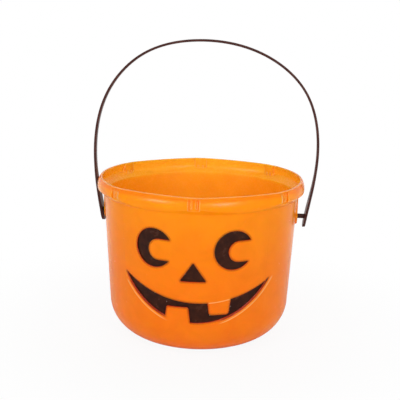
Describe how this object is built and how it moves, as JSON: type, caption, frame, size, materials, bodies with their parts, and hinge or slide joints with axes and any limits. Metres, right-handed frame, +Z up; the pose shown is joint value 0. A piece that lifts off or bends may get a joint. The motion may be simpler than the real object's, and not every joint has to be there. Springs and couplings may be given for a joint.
{
  "type": "pumpkin candy pail",
  "caption": "Open round plastic pail with a lobed collar, a recessed jack-o'-lantern face and a swinging strap handle, for carrying sweets.",
  "frame": {"origin": "middle of the flat base, on the table", "axes": "+Z up, the face looks along -Y, the handle's pivot runs along X"},
  "size_m": [0.1932, 0.1797, 0.2534],
  "materials": {
    "orange_plastic": "satin, moulded",
    "dark_plastic": "satin, moulded",
    "dark_paint": "glossy paint"
  },
  "bodies": {
    "pail": {"pail_shell": "orange_plastic", "left_eye_paint": "dark_paint", "right_eye_paint": "dark_paint", "nose_paint": "dark_paint", "mouth_paint": "dark_paint"},
    "handle": {"handle_strap": "dark_plastic"}
  },
  "joints": [
    {"name": "handle_swing", "type": "hinge", "parent": "pail", "child": "handle", "pos_m": [0, 0, 0.105], "axis": [1, 0, 0], "range_deg": [-130, 130]}
  ]
}
